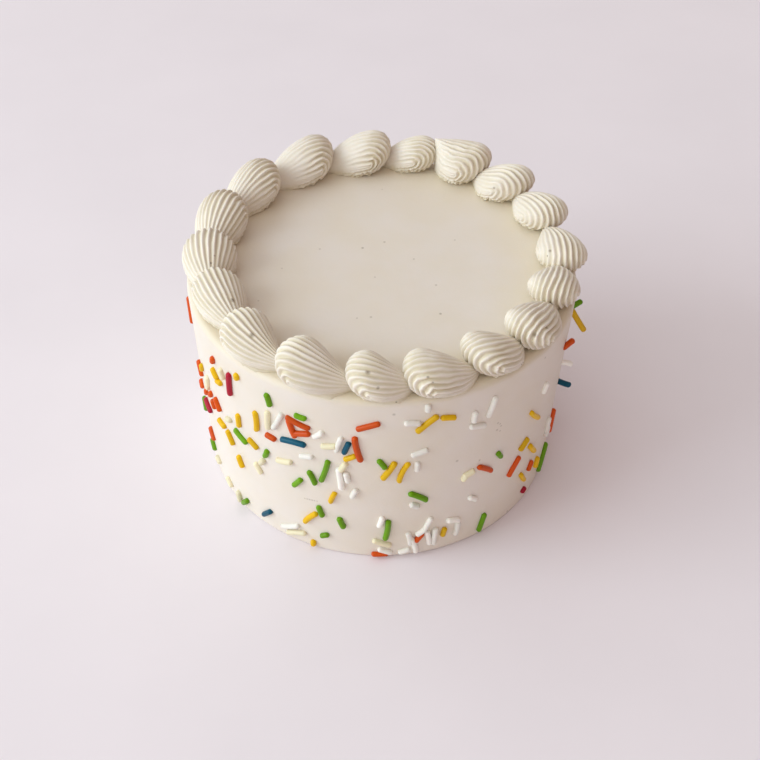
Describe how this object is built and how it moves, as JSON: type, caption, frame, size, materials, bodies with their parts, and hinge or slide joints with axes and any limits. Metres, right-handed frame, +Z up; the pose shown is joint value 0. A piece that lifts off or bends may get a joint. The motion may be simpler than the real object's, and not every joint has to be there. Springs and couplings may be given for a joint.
{
  "type": "bento cake",
  "caption": "Small round uncut bento cake: smooth pale frosting, a ring of piped ridged shells on its rim and coloured sprinkles pressed into its side.",
  "frame": {"origin": "centre of the cake's flat round base", "axes": "+Z up along the cake's axis, -Y towards the viewer of the picture, +X to that viewer's right"},
  "size_m": [0.1245, 0.1243, 0.0832],
  "materials": {
    "frosting": "smooth buttercream, softly satin",
    "piping": "piped buttercream with fine ridges"
  },
  "bodies": {
    "root": {"cake": "frosting", "shell_01": "piping", "shell_02": "piping", "shell_03": "piping", "shell_04": "piping", "shell_05": "piping", "shell_06": "piping", "shell_07": "piping", "shell_08": "piping", "shell_09": "piping", "shell_10": "piping", "shell_11": "piping", "shell_12": "piping", "shell_13": "piping", "shell_14": "piping", "shell_15": "piping", "shell_16": "piping", "shell_17": "piping", "shell_18": "piping"}
  },
  "joints": []
}
